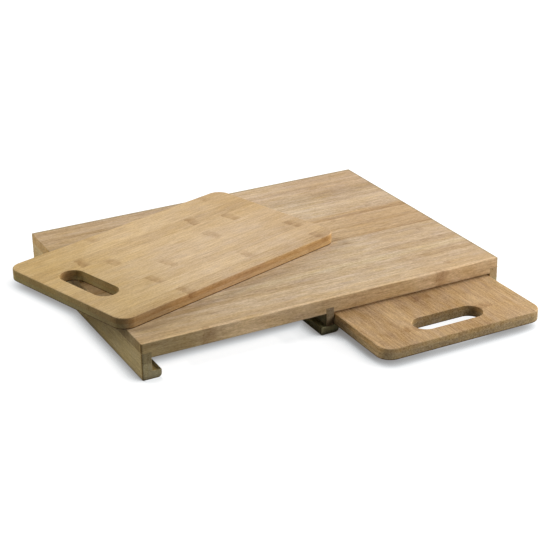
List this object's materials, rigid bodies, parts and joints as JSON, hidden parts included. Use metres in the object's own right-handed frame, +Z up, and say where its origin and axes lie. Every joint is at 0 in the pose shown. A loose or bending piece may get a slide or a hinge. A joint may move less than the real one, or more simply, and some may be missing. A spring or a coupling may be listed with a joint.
{
  "type": "cutting board with slide-in boards",
  "caption": "Bamboo chopping block on runners with bays under its top panel that hold thinner slide-in boards with hand slots.",
  "frame": {"origin": "on the table, in the middle of the block's footprint, which is the middle of the centre runner's underside", "axes": "+X along the block's long side to the right, +Y towards its back, away from the open bays, +Z up"},
  "size_m": [0.4329, 0.3795, 0.047],
  "materials": {
    "panel_bamboo": "satin, oiled, vertical-grain bamboo in narrow strips",
    "runner_bamboo": "satin, oiled bamboo strip",
    "board_bamboo": "satin, oiled, flat-grain bamboo in two plies of wide strips"
  },
  "bodies": {
    "block": {"top_panel": "panel_bamboo", "left_spacer": "runner_bamboo", "left_runner": "runner_bamboo", "left_back_stop": "runner_bamboo", "right_spacer": "runner_bamboo", "right_runner": "runner_bamboo", "right_back_stop": "runner_bamboo", "centre_divider": "runner_bamboo", "centre_runner": "runner_bamboo"},
    "right_board": {"right_board": "board_bamboo"},
    "left_board": {"left_board": "board_bamboo"}
  },
  "joints": [
    {"name": "right_board_slide", "type": "slide", "parent": "block", "child": "right_board", "axis": [0, -1, 0], "range_m": [-0.0885, 0.1915]},
    {"name": "left_board_lift", "type": "slide", "parent": "block", "child": "left_board", "axis": [0, 0, 1], "range_m": [0, 0.1]}
  ]
}
